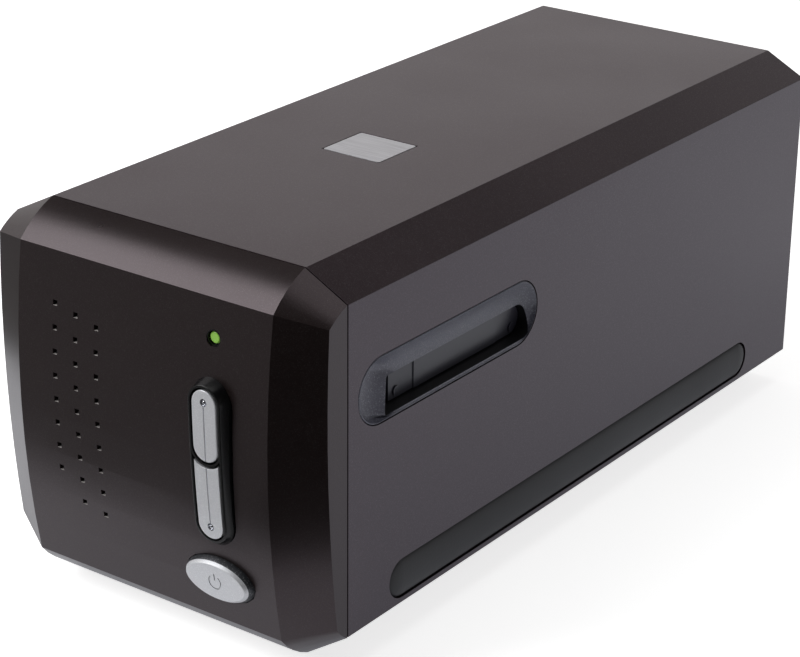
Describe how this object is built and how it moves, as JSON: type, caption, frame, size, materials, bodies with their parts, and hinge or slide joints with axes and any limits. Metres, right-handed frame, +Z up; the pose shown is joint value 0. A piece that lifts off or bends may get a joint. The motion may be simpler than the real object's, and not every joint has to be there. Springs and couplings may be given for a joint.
{
  "type": "film negative scanner",
  "caption": "Desktop film negative scanner: eight-sided box with gem-like bezel, side film slots with dust doors, scan buttons and a sliding scan carriage.",
  "frame": {"origin": "on the ground under the centre of the whole", "axes": "+Z up, the front faces -Y, +X to the right seen from the front"},
  "size_m": [0.12, 0.272, 0.1185],
  "materials": {
    "shell_paint": "fine metallic satin paint",
    "bezel_paint": "fine metallic satin paint",
    "black_plastic": "satin grained",
    "rubber": "matte",
    "silver_paint": "fine grained silver paint",
    "badge_metal": "brushed",
    "steel": "plain",
    "brass": "plain",
    "board_green": "solder mask",
    "frame_plastic": "moulded",
    "lamp_lens": "clear green",
    "diffuser_white": "frosted",
    "mirror_glass": "front surface"
  },
  "bodies": {
    "housing": {"top_cover": "shell_paint", "front_bezel": "bezel_paint", "base_tray": "shell_paint", "rear_panel": "black_plastic", "right_slot_bezel": "black_plastic", "left_slot_bezel": "black_plastic", "right_door_pin": "steel", "left_door_pin": "steel", "right_side_grip": "rubber", "left_side_grip": "rubber", "button_collar": "black_plastic", "light_pipe": "lamp_lens", "button_board": "board_green", "upper_switch": "black_plastic", "lower_switch": "black_plastic", "power_switch": "black_plastic", "badge_plate": "badge_metal", "foot_front_left": "rubber", "foot_front_right": "rubber", "foot_rear_left": "rubber", "foot_rear_right": "rubber", "cover_screw_front_left": "steel", "cover_screw_front_right": "steel", "cover_screw_rear_left": "steel", "cover_screw_rear_right": "steel", "rear_screw_right": "steel", "rear_screw_left": "steel", "scan_frame": "frame_plastic", "guide_rod_left": "steel", "guide_rod_right": "steel", "film_guide": "black_plastic", "stepper_motor": "steel", "main_board": "board_green", "usb_socket": "steel", "power_jack": "black_plastic"},
    "right_door": {"right_dust_door": "black_plastic"},
    "left_door": {"left_dust_door": "black_plastic"},
    "upper_button": {"upper_scan_button": "silver_paint"},
    "lower_button": {"lower_scan_button": "silver_paint"},
    "power_key": {"power_button": "silver_paint"},
    "carriage": {"carriage_frame": "black_plastic", "mirror": "mirror_glass", "lens_barrel": "black_plastic", "sensor_board": "board_green", "lamp_board": "board_green", "diffuser": "diffuser_white", "drive_nut": "brass"},
    "screw": {"lead_screw": "steel"}
  },
  "joints": [
    {"name": "right_door_hinge", "type": "hinge", "parent": "housing", "child": "right_door", "pos_m": [0.0512, -0.0601, 0.0864], "axis": [0, 1, 0], "range_deg": [0, 80], "stiffness_Nm_per_rad": 0.0006, "springref_deg": -22.92},
    {"name": "left_door_hinge", "type": "hinge", "parent": "housing", "child": "left_door", "pos_m": [-0.0512, -0.0601, 0.0864], "axis": [0, -1, 0], "range_deg": [0, 80], "stiffness_Nm_per_rad": 0.0006, "springref_deg": -22.92},
    {"name": "upper_button_press", "type": "slide", "parent": "housing", "child": "upper_button", "axis": [0, 1, 0], "range_m": [0, 0.0006], "stiffness_N_per_m": 1500},
    {"name": "lower_button_press", "type": "slide", "parent": "housing", "child": "lower_button", "axis": [0, 1, 0], "range_m": [0, 0.0006], "stiffness_N_per_m": 1500},
    {"name": "power_button_press", "type": "slide", "parent": "housing", "child": "power_key", "axis": [0, 1, 0], "range_m": [0, 0.0006], "stiffness_N_per_m": 1500},
    {"name": "carriage_slide", "type": "slide", "parent": "housing", "child": "carriage", "axis": [0, 1, 0], "range_m": [-0.012, 0.012]},
    {"name": "lead_screw_turn", "type": "hinge", "parent": "housing", "child": "screw", "pos_m": [0, 0.06, 0.0495], "axis": [0, 1, 0], "range_deg": [-1085, 1085]}
  ],
  "couplings": [
    {"joint": "lead_screw_turn", "follows": "carriage_slide", "rad_per_m": 1570.8}
  ]
}
